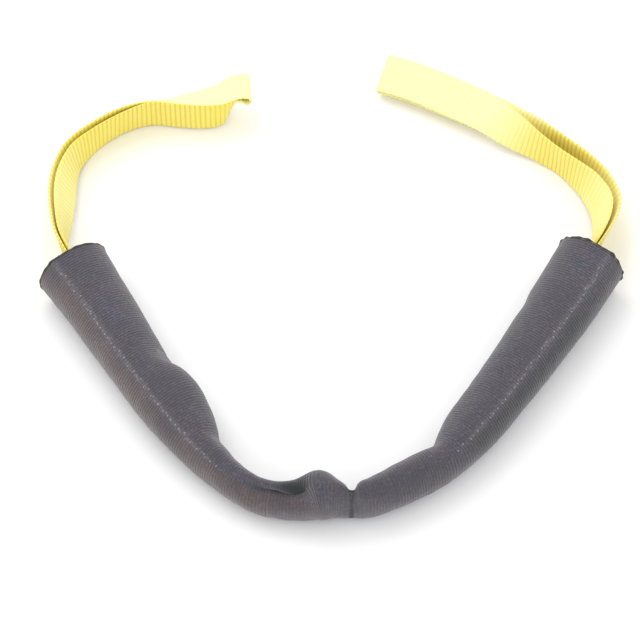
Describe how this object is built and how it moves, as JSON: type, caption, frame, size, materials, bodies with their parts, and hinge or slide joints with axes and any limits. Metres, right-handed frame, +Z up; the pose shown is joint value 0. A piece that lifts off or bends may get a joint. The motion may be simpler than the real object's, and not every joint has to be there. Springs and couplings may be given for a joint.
{
  "type": "tow rope handle",
  "caption": "Soft tow rope handle: a webbing strap with a sewn eye at each end, its middle in a ribbed tubular sleeve with foam floats, bent into a U.",
  "frame": {"origin": "on the ground under the middle of the handle's box", "axes": "+Z up, out of the plane the handle lies in; +Y from the middle bend towards the two eyes; +X towards the right-hand arm"},
  "size_m": [0.3634, 0.3516, 0.0386],
  "materials": {
    "webbing": "heavy cross-ribbed woven webbing, yellow",
    "sleeve": "finely cross-ribbed tubular fabric, purplish grey",
    "rim": "hot-cut, fused fabric edge, nearly black",
    "foam": "closed-cell foam, grey",
    "thread": "heavy bonded thread, pale yellow",
    "dark_thread": "bonded thread, dark grey",
    "seam": "paler raised line with small stitches along the sleeve"
  },
  "bodies": {
    "left_bend": {"sleeve_bend_left": "sleeve", "strap_bend_left": "webbing", "centre_tack_front": "dark_thread", "centre_tack_back": "dark_thread"},
    "right_bend": {"sleeve_bend_right": "sleeve", "strap_bend_right": "webbing"},
    "left_arm": {"sleeve_arm_left": "sleeve", "sleeve_rim_left": "rim", "foam_float_left": "foam", "strap_arm_left": "webbing", "strap_tail_left": "webbing", "box_stitch_inner_left": "thread", "box_stitch_outer_left": "thread", "sleeve_seam_left": "seam"},
    "right_arm": {"sleeve_arm_right": "sleeve", "sleeve_rim_right": "rim", "foam_float_right": "foam", "strap_arm_right": "webbing", "strap_tail_right": "webbing", "box_stitch_inner_right": "thread", "box_stitch_outer_right": "thread", "sleeve_seam_right": "seam"},
    "left_eye": {"eye_leg_inner_left": "webbing", "eye_leg_outer_left": "webbing", "eye_bight_left": "webbing"},
    "right_eye": {"eye_leg_inner_right": "webbing", "eye_leg_outer_right": "webbing", "eye_bight_right": "webbing"}
  },
  "joints": [
    {"name": "centre_fold", "type": "hinge", "parent": "left_bend", "child": "right_bend", "pos_m": [0.01127, -0.16639, 0.01564], "axis": [0, 0, 1], "range_deg": [-30, 12]},
    {"name": "left_kink", "type": "hinge", "parent": "left_bend", "child": "left_arm", "pos_m": [-0.07194, -0.13819, 0.01584], "axis": [0, 0, 1], "range_deg": [-12, 20]},
    {"name": "right_kink", "type": "hinge", "parent": "right_bend", "child": "right_arm", "pos_m": [0.06606, -0.1375, 0.01604], "axis": [0, 0, 1], "range_deg": [-20, 12]},
    {"name": "left_eye_swing", "type": "hinge", "parent": "left_arm", "child": "left_eye", "pos_m": [-0.16094, 0.00234, 0.0193], "axis": [0, 0, 1], "range_deg": [-25, 30]},
    {"name": "right_eye_swing", "type": "hinge", "parent": "right_arm", "child": "right_eye", "pos_m": [0.16036, 0.00836, 0.019], "axis": [0, 0, 1], "range_deg": [-30, 25]}
  ]
}
